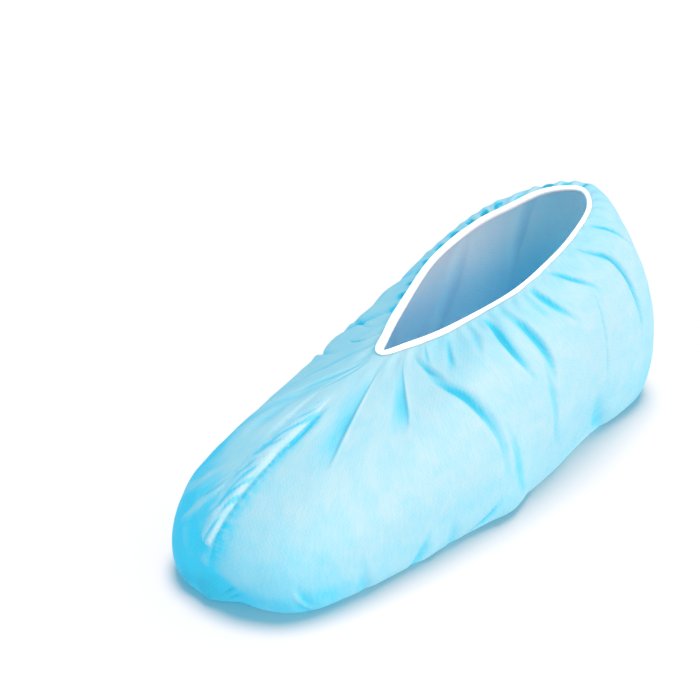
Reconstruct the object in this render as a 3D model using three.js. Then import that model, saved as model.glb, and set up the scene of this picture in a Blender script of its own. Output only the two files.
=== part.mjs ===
// A disposable shoe cover: one soft sheet drawn over a shoe's form, with a bound, gathered opening.
// Millimetres, +Z up. The toe points to -Y, the wearer's left side is +X, the sole lies on z = 0.
import * as THREE from "three";

// Driving dimensions
const CLOTH = 1.2; // thickness of the sheet
const GAP = 0.35; // clearance between pieces that lie on each other
const TOE_LEAN = -6; // sideways turn of the toe, as on a left shoe
const LEAN_FROM = 60; // the lean starts here and grows to the toe
const LEAN_TO = -155;
const SOLE_LINE = 0.8; // length of the sole's middle line, as a share of the sole
const SOLE_ROUNDING = 0.55; // fullness of the turn from the wall into the sole

// The binding: a tape folded over the edge of the opening
const TAPE_WIDTH = 1.5; // each leg of the tape below the edge
const TAPE_WIDTH_AT_TOE = 3.0; // where it is pulled round the front of the opening
const TAPE_WIDE_TO = -20; // the tape has its full width in front of here and narrows until there
const TAPE_NARROW_FROM = 10;
const TAPE_THICKNESS = 1.0;

// Gathers drawn up by the binding
const GATHERS = 28; // round the opening
const GATHER_DEPTH = 1.1;
const GATHER_REACH = 30; // below the tape
const CLEAR_OF_TAPE = 8; // the cloth is smooth under the tape and gathers over this length below it

// Levels down the wall
const BULGE = 1;
const SOLE_EDGE = 2;
const SOLE_MIDDLE = 3;

// Sections of the wall, a row for each station round the left side, from the toe to the heel.
// The rim is the edge of the opening, the bulge the widest point, the sole the edge of the flat sole.
// The slopes are how steeply the cloth leaves the rim on the left and on the right side, in degrees, and
// the pulls are how far it holds its direction at the rim and at the bulge. The draw is how far, in
// stations, the binding draws the cloth forward at the rim.
const SECTION_COLUMNS = [
  "rimX", "rimY", "rimZ", "bulgeX", "bulgeY", "bulgeZ", "soleX", "soleY",
  "slope", "rightSlope", "rimPull", "bulgePull", "draw",
];
const SECTIONS = {
  toe: [0, -43, 88.8, 0, -158, 22, 0, -146, 16, 16, 50, 35, 0],
  toeCorner: [6, -33.5, 91, 35, -145, 24, 32, -136, 24, 18, 47, 33, 0.7],
  toeSide: [15, -13, 95.5, 48, -107, 28, 42, -102, 28, 27, 43, 29, 1.1],
  ball: [25.5, 21, 105, 52, -49, 35, 46, -50, 26, 34, 35, 36, 1.75],
  waist: [25.5, 51, 112, 52, 17, 36, 46, 16, 24, 12, 31, 36, 1.65],
  quarter: [21, 75, 116, 43, 79, 37.5, 36, 77, 18, -12, 27, 38, 1.4],
  heelCorner: [13.5, 96.5, 120, 35, 133, 38.5, 28.5, 127, -8, -34, 22, 22, 0.9],
  heel: [0, 107.5, 121, 0, 152.5, 39.5, 0, 143.5, -40, -40, 22, 20, 0],
};
const DRAW_BEND = 1.7; // the cloth swings out from the rim and then runs straight down

// Folds in the wall, a row each. From and until are levels down the wall, and the top, middle and bottom
// are the stations of the fold at its start, halfway and at its end, negative on the right side.
const FOLD_COLUMNS = ["top", "middle", "bottom", "from", "until", "width", "depth"];
const FOLDS = {
  vampCrease: [1.34, 1.3, 1.23, 0.08, 0.6, 8, 2.2],
  vampHollow: [2.34, 2.66, 2.62, 0.07, 0.48, 7, 2.2],
  longPleat: [3.14, 3.5, 3.57, 0.07, 1.0, 6.5, 3.6],
  longTail: [3.55, 3.6, 3.65, 0.75, 1.7, 7, 1.8],
  ballTuck: [3.65, 3.57, 3.48, 0.04, 0.27, 4, 1.8],
  ballPleat: [4.07, 4.09, 4.11, 0.04, 0.72, 6.5, 3.2],
  waistPleat: [4.28, 4.42, 4.25, 0.08, 0.8, 6.5, 3.6],
  waistTail: [4.34, 4.2, 4.4, 0.6, 1.5, 7, 2.0],
  waistTuck: [4.76, 4.85, 4.93, 0.05, 0.62, 6, 2.6],
  quarterPleat: [5.08, 5.27, 5.33, 0.05, 0.55, 7, 3.0],
  quarterTail: [5.06, 5.1, 5.2, 0.6, 1.4, 7, 1.6],
  heelPleat: [5.66, 5.72, 5.6, 0.05, 1.0, 6.5, 2.8],
  heelTuck: [6.12, 6.13, 6.28, 0.06, 0.46, 5, 1.4],
  rightVampCrease: [-1.1, -1.4, -1.5, 0.08, 0.75, 9, 1.4],
  rightVampPleat: [-2.3, -2.3, -2.35, 0.05, 0.55, 7, 1.4],
  rightLongPleat: [-3.0, -3.25, -3.3, 0.05, 1.6, 7, 2.2],
  rightBallPleat: [-3.85, -3.9, -3.9, 0.05, 0.9, 7, 2.4],
  rightWaistPleat: [-4.4, -4.5, -4.5, 0.06, 1.2, 7, 2.8],
  rightQuarterPleat: [-5.1, -5.2, -5.2, 0.06, 1.1, 7, 2.6],
  rightHeelPleat: [-5.85, -5.9, -5.9, 0.06, 0.9, 7, 2.4],
  hemTuckToe: [0.8, 0.8, 0.8, 1.1, 2.1, 8, 1.6],
  hemTuckSide: [2.2, 2.2, 2.2, 1.1, 2.1, 8, 1.8],
  hemTuckBall: [2.65, 2.65, 2.65, 1.0, 2.1, 8, 2.6],
  hemTuckArch: [3.05, 3.07, 3.1, 1.0, 2.1, 8, 2.6],
  hemTuckWaist: [3.4, 3.43, 3.5, 1.0, 2.1, 8, 2.4],
  hemTuckHeel: [4.95, 5.1, 5.25, 1.1, 2.1, 8, 2.2],
  rightHemTuckBall: [-2.5, -2.5, -2.5, 1.0, 2.1, 8, 2.4],
  rightHemTuckArch: [-3.6, -3.6, -3.6, 1.0, 2.1, 8, 2.4],
};
const CREST_HEIGHT = 0.55; // the cloth pushed up beside a fold, as a share of its depth
const CREST_OFFSET = 1.7; // its distance from the fold, in fold widths
const FOLD_FULL = 0.15; // a fold has its full depth between these shares of its length
const FOLD_FADES = 0.6;
const SIDEWAYS_FROM = 1.2; // below this level the folds turn sideways, so that the sole stays flat

// Seams where the two sides of the sheet are joined: folded strips that lie on the cloth.
// Each sits at a station, from a level to a level, with its left and right edges beside the station.
// A seam starts narrow below the tape and has its full width from the level in the column "full".
const SEAM_COLUMNS = ["station", "from", "until", "full", "leftEdge", "rightEdge", "height"];
const SEAMS = {
  toe_seam: [0, 0.18, 0.9, 0.4, 2, -7.5, 2.2],
  heel_seam: [7, 0.11, 0.97, 0.3, 3, -3, 1.4],
};
const SEAM_START = 0.35; // width of a seam at its start, as a share of its full width
const SEAM_EDGE = 0.35; // height of a seam at its edges, as a share of its height
const SEAM_HOLD = 9; // the cloth stays smooth under a seam, and folds over this length beside it

// Fineness of the solids
const COLUMNS_PER_STATION = 8;
const WALL_ROWS = 12;
const TURN_ROWS = 4;
const SOLE_ROWS = 2;
const ROW_GROWTH = 1.25; // rows are closer together near the rim
const SEAM_ROWS = 22;
const SEAM_POINTS = 4; // across a seam
const NEARBY = 0.01; // distance in stations or levels for measuring directions

const UP = new THREE.Vector3(0, 0, 1);
const LAST_STATION = Object.keys(SECTIONS).length - 1;
const RING = 2 * LAST_STATION; // stations all the way round
const COLUMNS = RING * COLUMNS_PER_STATION;
const { smoothstep, degToRad, euclideanModulo, lerp } = THREE.MathUtils;

const named = (columns, row) => Object.fromEntries(columns.map((column, i) => [column, row[i]]));
const sectionRows = Object.values(SECTIONS).map((row) => named(SECTION_COLUMNS, row));
const foldRows = Object.values(FOLDS).map((row) => named(FOLD_COLUMNS, row));
const seamRows = Object.values(SEAMS).map((row) => named(SEAM_COLUMNS, row));

// A turn round the cover as a signed station: 0 at the toe, positive on the left, negative on the right.
function signedStation(turn) {
  const around = euclideanModulo(turn, RING);
  return around > LAST_STATION ? around - RING : around;
}

// A row of the section table, mirrored past the toe and the heel.
function sectionRow(index) {
  if (index < 0) return mirrored(sectionRows[-index]);
  if (index > LAST_STATION) return mirrored(sectionRows[RING - index]);
  return sectionRows[index];
}

function mirrored(row) {
  const across = { rimX: -row.rimX, bulgeX: -row.bulgeX, soleX: -row.soleX, draw: -row.draw };
  return { ...row, ...across, slope: row.rightSlope, rightSlope: row.slope };
}

// The section at a turn, blended smoothly between the rows of the table.
function sectionAt(turn) {
  const station = signedStation(turn);
  const index = Math.min(Math.floor(Math.abs(station)), LAST_STATION - 1);
  const part = Math.abs(station) - index;
  const [before, first, second, after] = [-1, 0, 1, 2].map((step) => sectionRow(index + step));
  const section = {};
  for (const column of SECTION_COLUMNS) {
    const [a, b, c, d] = [before[column], first[column], second[column], after[column]];
    const bend = (2 * a - 5 * b + 4 * c - d) * part ** 2 + (3 * b - a - 3 * c + d) * part ** 3;
    section[column] = 0.5 * (2 * b + (c - a) * part + bend);
  }
  return station < 0 ? mirrored(section) : section;
}

// The lines of a section: the wall from rim to bulge, the turn into the sole, and the flat sole.
function sectionLines(turn) {
  const section = sectionAt(turn);
  const rim = new THREE.Vector3(section.rimX, section.rimY, section.rimZ);
  const bulge = new THREE.Vector3(section.bulgeX, section.bulgeY, section.bulgeZ);
  const sole = new THREE.Vector3(section.soleX, section.soleY, 0);
  const middle = new THREE.Vector3(0, section.soleY * SOLE_LINE, 0);
  const slope = degToRad(section.slope);
  const leave = bulge.clone().sub(rim).setZ(0).normalize();
  leave.multiplyScalar(Math.cos(slope)).addScaledVector(UP, -Math.sin(slope));
  const belowRim = rim.clone().addScaledVector(leave, section.rimPull);
  const aboveBulge = bulge.clone().addScaledVector(UP, section.bulgePull);
  const belowBulge = bulge.clone().setZ(bulge.z * (1 - SOLE_ROUNDING));
  const besideSole = sole.clone().lerp(bulge.clone().setZ(0), SOLE_ROUNDING);
  return [
    new THREE.CubicBezierCurve3(rim, belowRim, aboveBulge, bulge),
    new THREE.CubicBezierCurve3(bulge, belowBulge, besideSole, sole),
    new THREE.LineCurve3(sole, middle),
  ];
}

// How far up from the bulge to the rim a level lies, as a share.
const aboveBulgeShare = (level) => Math.max(BULGE - level, 0);

// The turn of the wall where a line of the cloth lies at a level, drawn forward towards the rim.
function drawnTurn(turn, level) {
  return turn - sectionAt(turn).draw * aboveBulgeShare(level) ** DRAW_BEND;
}

// A point of the smooth outer wall on a line of the cloth.
function wallPoint(turn, level) {
  const lines = sectionLines(drawnTurn(turn, level));
  const part = Math.min(Math.floor(level), lines.length - 1);
  const point = lines[part].getPoint(level - part);
  const share = THREE.MathUtils.clamp((LEAN_FROM - point.y) / (LEAN_FROM - LEAN_TO), 0, 1);
  point.x += TOE_LEAN * share ** 2;
  return point;
}

// The outward normal of a surface given as a function of turn and level.
function normalOf(surface, turn, level) {
  const [above, below] = [Math.max(level - NEARBY, 0), Math.min(level + NEARBY, SOLE_MIDDLE)];
  const around = surface(turn + NEARBY, level).sub(surface(turn - NEARBY, level));
  const down = surface(turn, below).sub(surface(turn, above));
  return down.cross(around).normalize();
}

// The direction along the edge of the opening.
function rimDirection(turn) {
  return wallPoint(turn + NEARBY, 0).sub(wallPoint(turn - NEARBY, 0)).normalize();
}

// How far a place on the wall lies from the edge of the opening.
function distanceBelowRim(turn, level) {
  const drop = wallPoint(turn, level).sub(wallPoint(turn, 0));
  return drop.cross(rimDirection(turn)).length();
}

// How far the tape's legs reach below the edge of the opening.
function tapeLeg(turn) {
  const narrow = smoothstep(wallPoint(turn, 0).y, TAPE_WIDE_TO, TAPE_NARROW_FROM);
  return lerp(TAPE_WIDTH_AT_TOE, TAPE_WIDTH, narrow);
}

// The distance round the wall from one station to the next.
function stationLengthAt(turn, level) {
  const [before, after] = [wallPoint(turn - NEARBY, level), wallPoint(turn + NEARBY, level)];
  return before.distanceTo(after) / (2 * NEARBY);
}

// The station of a fold at a share of its length, on a smooth line through its top, middle and bottom.
function foldStation(fold, along) {
  const [top, bottom] = [fold.top * (1 - along) * (1 - 2 * along), fold.bottom * along * (2 * along - 1)];
  return top + fold.middle * 4 * along * (1 - along) + bottom;
}

// How far the folds and gathers move the cloth out of the smooth wall.
function foldOffset(turn, level) {
  const stationLength = stationLengthAt(turn, level);
  const belowTape = distanceBelowRim(turn, level) - tapeLeg(turn);
  const ripple = Math.cos((2 * Math.PI * GATHERS * turn) / RING);
  let offset = GATHER_DEPTH * ripple * (1 - smoothstep(belowTape, 0, GATHER_REACH));
  for (const fold of foldRows) {
    const along = (level - fold.from) / (fold.until - fold.from);
    if (along <= 0 || along >= 1) continue;
    const across = (signedStation(turn - foldStation(fold, along)) * stationLength) / fold.width;
    const valley = Math.exp(-(across ** 2));
    const crest = CREST_HEIGHT * Math.exp(-((across - CREST_OFFSET) ** 2));
    const fade = smoothstep(along, 0, FOLD_FULL) * (1 - smoothstep(along, FOLD_FADES, 1));
    offset += fold.depth * fade * (crest - valley);
  }
  let free = smoothstep(belowTape, 0, CLEAR_OF_TAPE);
  for (const seam of seamRows) {
    const side = signedStation(turn - seam.station) * stationLength;
    const outside = Math.max(side - seam.leftEdge, seam.rightEdge - side);
    free *= smoothstep(outside, 0, SEAM_HOLD);
  }
  return offset * free;
}

// A point of the cloth's outer face, with its folds. At the sole the folds only move it sideways.
function clothPoint(turn, level) {
  const point = wallPoint(turn, level);
  if (level > SOLE_EDGE) return point;
  const outward = normalOf(wallPoint, turn, level);
  outward.z *= 1 - smoothstep(level, SIDEWAYS_FROM, SOLE_EDGE);
  return point.addScaledVector(outward, foldOffset(turn, level));
}

// A closed body from points and triangles.
function solid(points, triangles) {
  const geometry = new THREE.BufferGeometry();
  geometry.setFromPoints(triangles.flat().map((index) => points[index]));
  geometry.computeVertexNormals();
  return geometry;
}

// The triangles of a grid whose corner numbers a function gives, each cell cut along its shorter diagonal.
function gridTriangles(points, columns, rows, corner) {
  const triangles = [];
  for (let column = 0; column < columns; column++) {
    for (let row = 0; row < rows; row++) {
      const [a, b] = [corner(column, row), corner(column, row + 1)];
      const [c, d] = [corner(column + 1, row + 1), corner(column + 1, row)];
      const cutFromA = points[a].distanceTo(points[c]) <= points[b].distanceTo(points[d]);
      if (cutFromA) triangles.push([a, b, c], [a, c, d]);
      else triangles.push([a, b, d], [b, c, d]);
    }
  }
  return triangles;
}

// A closed body between an outer and an inner skin that share their triangles, walled in at open edges.
function layer(outer, inner, triangles) {
  const count = outer.length;
  const faces = triangles.flatMap(([a, b, c]) => [[a, b, c], [a + count, c + count, b + count]]);
  const edges = new Set(triangles.flatMap(([a, b, c]) => [`${a} ${b}`, `${b} ${c}`, `${c} ${a}`]));
  for (const edge of edges) {
    const [a, b] = edge.split(" ").map(Number);
    if (edges.has(`${b} ${a}`)) continue;
    faces.push([b, a, a + count], [b, a + count, b + count]);
  }
  return solid([...outer, ...inner], faces);
}

// The levels of the rows of points, from the rim to the sole's middle line.
function wallLevels() {
  const levels = [];
  for (let row = 0; row < WALL_ROWS; row++) levels.push((row / WALL_ROWS) ** ROW_GROWTH);
  for (let row = 0; row < TURN_ROWS; row++) levels.push(BULGE + row / TURN_ROWS);
  for (let row = 0; row <= SOLE_ROWS; row++) levels.push(SOLE_EDGE + row / SOLE_ROWS);
  return levels;
}

// The sheet: a hollow wall round the opening, with its sole closed along the middle line.
function coverBody() {
  const levels = wallLevels();
  const [outer, inner] = [[], []];
  for (const level of levels) {
    for (let column = 0; column < COLUMNS; column++) {
      const turn = column / COLUMNS_PER_STATION;
      const point = clothPoint(turn, level);
      outer.push(point);
      inner.push(point.clone().addScaledVector(normalOf(clothPoint, turn, level), -CLOTH));
    }
  }
  const lastRow = levels.length - 1;
  const corner = (column, row) => {
    const around = column % COLUMNS;
    const paired = row === lastRow ? Math.min(around, COLUMNS - around) : around;
    return row * COLUMNS + paired;
  };
  return layer(outer, inner, gridTriangles(outer, COLUMNS, lastRow, corner));
}

// The section of the binding where its legs have a given length: how far out and how far below the edge.
function tapeProfile(leg) {
  const outside = GAP + TAPE_THICKNESS;
  return [
    [GAP, -GAP], [-CLOTH - GAP, -GAP], [-CLOTH - GAP, leg], [-CLOTH - outside, leg],
    [-CLOTH - outside, -outside], [outside, -outside], [outside, leg], [GAP, leg],
  ];
}

// The binding: a channel of tape that straddles the edge of the opening.
function openingBinding() {
  const points = [];
  for (let column = 0; column < COLUMNS; column++) {
    const turn = column / COLUMNS_PER_STATION;
    const rim = wallPoint(turn, 0);
    const outward = normalOf(wallPoint, turn, 0);
    const down = rimDirection(turn).cross(outward);
    for (const [out, below] of tapeProfile(tapeLeg(turn))) {
      points.push(rim.clone().addScaledVector(outward, out).addScaledVector(down, below));
    }
  }
  const sides = points.length / COLUMNS;
  const corner = (column, row) => (column % COLUMNS) * sides + (row % sides);
  return solid(points, gridTriangles(points, COLUMNS, sides, corner));
}

// A folded seam: a crowned strip that follows the cloth.
function foldedSeam(seam) {
  const [top, bottom] = [[], []];
  for (let row = 0; row <= SEAM_ROWS; row++) {
    const level = lerp(seam.from, seam.until, row / SEAM_ROWS);
    const width = lerp(SEAM_START, 1, smoothstep(level, seam.from, seam.full));
    const stationLength = stationLengthAt(seam.station, level);
    for (let place = 0; place < SEAM_POINTS; place++) {
      const share = place / (SEAM_POINTS - 1);
      const side = width * lerp(seam.rightEdge, seam.leftEdge, share);
      const turn = seam.station + side / stationLength;
      const outward = normalOf(clothPoint, turn, level);
      const crown = seam.height * lerp(SEAM_EDGE, 1, Math.sin(Math.PI * share));
      bottom.push(clothPoint(turn, level).addScaledVector(outward, GAP));
      top.push(clothPoint(turn, level).addScaledVector(outward, GAP + crown));
    }
  }
  const corner = (column, row) => row * SEAM_POINTS + column;
  return layer(top, bottom, gridTriangles(top, SEAM_POINTS - 1, SEAM_ROWS, corner));
}

const clothMaterial = new THREE.MeshStandardMaterial({ color: 0xa9e2f7, roughness: 0.85, metalness: 0 });
const seamMaterial = new THREE.MeshStandardMaterial({ color: 0xb9e8f8, roughness: 0.85, metalness: 0 });
const tapeMaterial = new THREE.MeshStandardMaterial({ color: 0xf6fafc, roughness: 0.8, metalness: 0 });

function piece(name, geometry, material) {
  const mesh = new THREE.Mesh(geometry, material);
  mesh.name = name;
  return mesh;
}

const shoeCover = new THREE.Group();
shoeCover.add(piece("cover_body", coverBody(), clothMaterial));
shoeCover.add(piece("opening_binding", openingBinding(), tapeMaterial));
for (const [name, row] of Object.entries(SEAMS)) {
  shoeCover.add(piece(name, foldedSeam(named(SEAM_COLUMNS, row)), seamMaterial));
}

// The origin is on the ground, under the middle of the cover's box.
const box = new THREE.Box3().setFromObject(shoeCover);
const middle = box.getCenter(new THREE.Vector3());
shoeCover.position.set(-middle.x, -middle.y, -box.min.z);

export default shoeCover;
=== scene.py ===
"""A disposable shoe cover: one soft non-woven sheet, gathered into a white binding, with two folded seams.

Sizes are in millimetres and are turned into metres when a mesh is shaped. The cover stands as in the frame:
+Z up, the toe to -Y and the wearer's left side to +X.
"""

import math

import bmesh
import bpy
import numpy as np
from mathutils import Matrix, Vector, noise


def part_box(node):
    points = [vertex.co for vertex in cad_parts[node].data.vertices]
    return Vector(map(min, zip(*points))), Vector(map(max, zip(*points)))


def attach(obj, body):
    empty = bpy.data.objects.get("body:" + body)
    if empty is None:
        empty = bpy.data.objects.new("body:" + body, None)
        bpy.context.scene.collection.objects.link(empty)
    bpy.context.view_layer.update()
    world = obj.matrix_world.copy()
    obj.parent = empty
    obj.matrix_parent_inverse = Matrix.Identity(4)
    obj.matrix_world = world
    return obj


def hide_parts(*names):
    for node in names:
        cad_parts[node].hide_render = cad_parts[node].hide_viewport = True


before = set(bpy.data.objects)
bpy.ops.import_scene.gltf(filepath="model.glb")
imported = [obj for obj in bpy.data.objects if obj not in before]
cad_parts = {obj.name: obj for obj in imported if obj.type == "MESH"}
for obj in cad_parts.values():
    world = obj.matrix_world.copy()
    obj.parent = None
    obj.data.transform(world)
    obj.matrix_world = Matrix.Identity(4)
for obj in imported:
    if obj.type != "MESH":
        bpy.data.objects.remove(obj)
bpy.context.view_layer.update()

MM = 0.001

# Camera: its direction from the cover, and its distance and offset from a point in the middle of the cover
CAMERA_AZIMUTH = 43.0
CAMERA_ELEVATION = 30.5
CAMERA_DISTANCE = 1010
CAMERA_RIGHT = -45.7
CAMERA_UP = 18.8
CAMERA_TARGET = (0, 0, 50)
FOCAL_PIXELS = 2018
FRAME_PIXELS = 700
SENSOR = 36

# The sheet and the tape
CLOTH = 1.2
GAP = 0.35
TAPE_WIDTH = 1.5
TAPE_WIDTH_AT_TOE = 2.6
TAPE_WIDE_TO = -20
TAPE_NARROW_FROM = 10
TAPE_THICKNESS = 0.75

# The form of the wall, in sections round the left side from the toe to the heel. The rim is the edge of
# the opening, the bulge the widest point, the sole the edge of the flat sole. The slopes are how steeply
# the cloth leaves the rim on the left and on the right side, in degrees, and the pulls are how far it holds
# its direction at the rim and at the bulge. The draw is how far, in stations, the binding draws the cloth
# forward at the rim.
SECTION_COLUMNS = (
    "rim_x", "rim_y", "rim_z", "bulge_x", "bulge_y", "bulge_z", "sole_x", "sole_y",
    "slope", "right_slope", "rim_pull", "bulge_pull", "draw",
)
MIRRORED_COLUMNS = ("rim_x", "bulge_x", "sole_x", "draw")
SECTIONS = {
    "toe": (0, -43, 88.8, 0, -158, 22, 0, -146, 16, 16, 50, 35, 0),
    "toe_corner": (6, -33.5, 91, 35, -145, 24, 32, -136, 24, 18, 47, 33, 0.7),
    "toe_side": (15, -13, 95.5, 48, -107, 28, 42, -102, 28, 27, 43, 29, 1.1),
    "ball": (25.5, 21, 105, 52, -49, 35, 46, -50, 26, 34, 35, 36, 1.75),
    "waist": (25.5, 51, 112, 52, 17, 36, 46, 16, 24, 12, 31, 36, 1.65),
    "quarter": (21, 75, 116, 43, 79, 37.5, 36, 77, 18, -12, 27, 38, 1.4),
    "heel_corner": (13.5, 96.5, 120, 35, 133, 38.5, 28.5, 127, -8, -34, 22, 22, 0.9),
    "heel": (0, 107.5, 121, 0, 152.5, 39.5, 0, 143.5, -40, -40, 22, 20, 0),
}
DRAW_BEND = 1.7
LAST_STATION = len(SECTIONS) - 1
RING = 2 * LAST_STATION

# The sideways lean of the toe, between two places along the cover
TOE_LEAN = -6
LEAN_FROM = 60
LEAN_TO = -155

# The sole: its middle line, as a share of its length, and how softly its edge turns
SOLE_LINE = 0.8
SOLE_ROUNDING = 0.55

# Levels down the wall: the rim is 0
BULGE = 1
SOLE_EDGE = 2
SOLE_MIDDLE = 3

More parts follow.
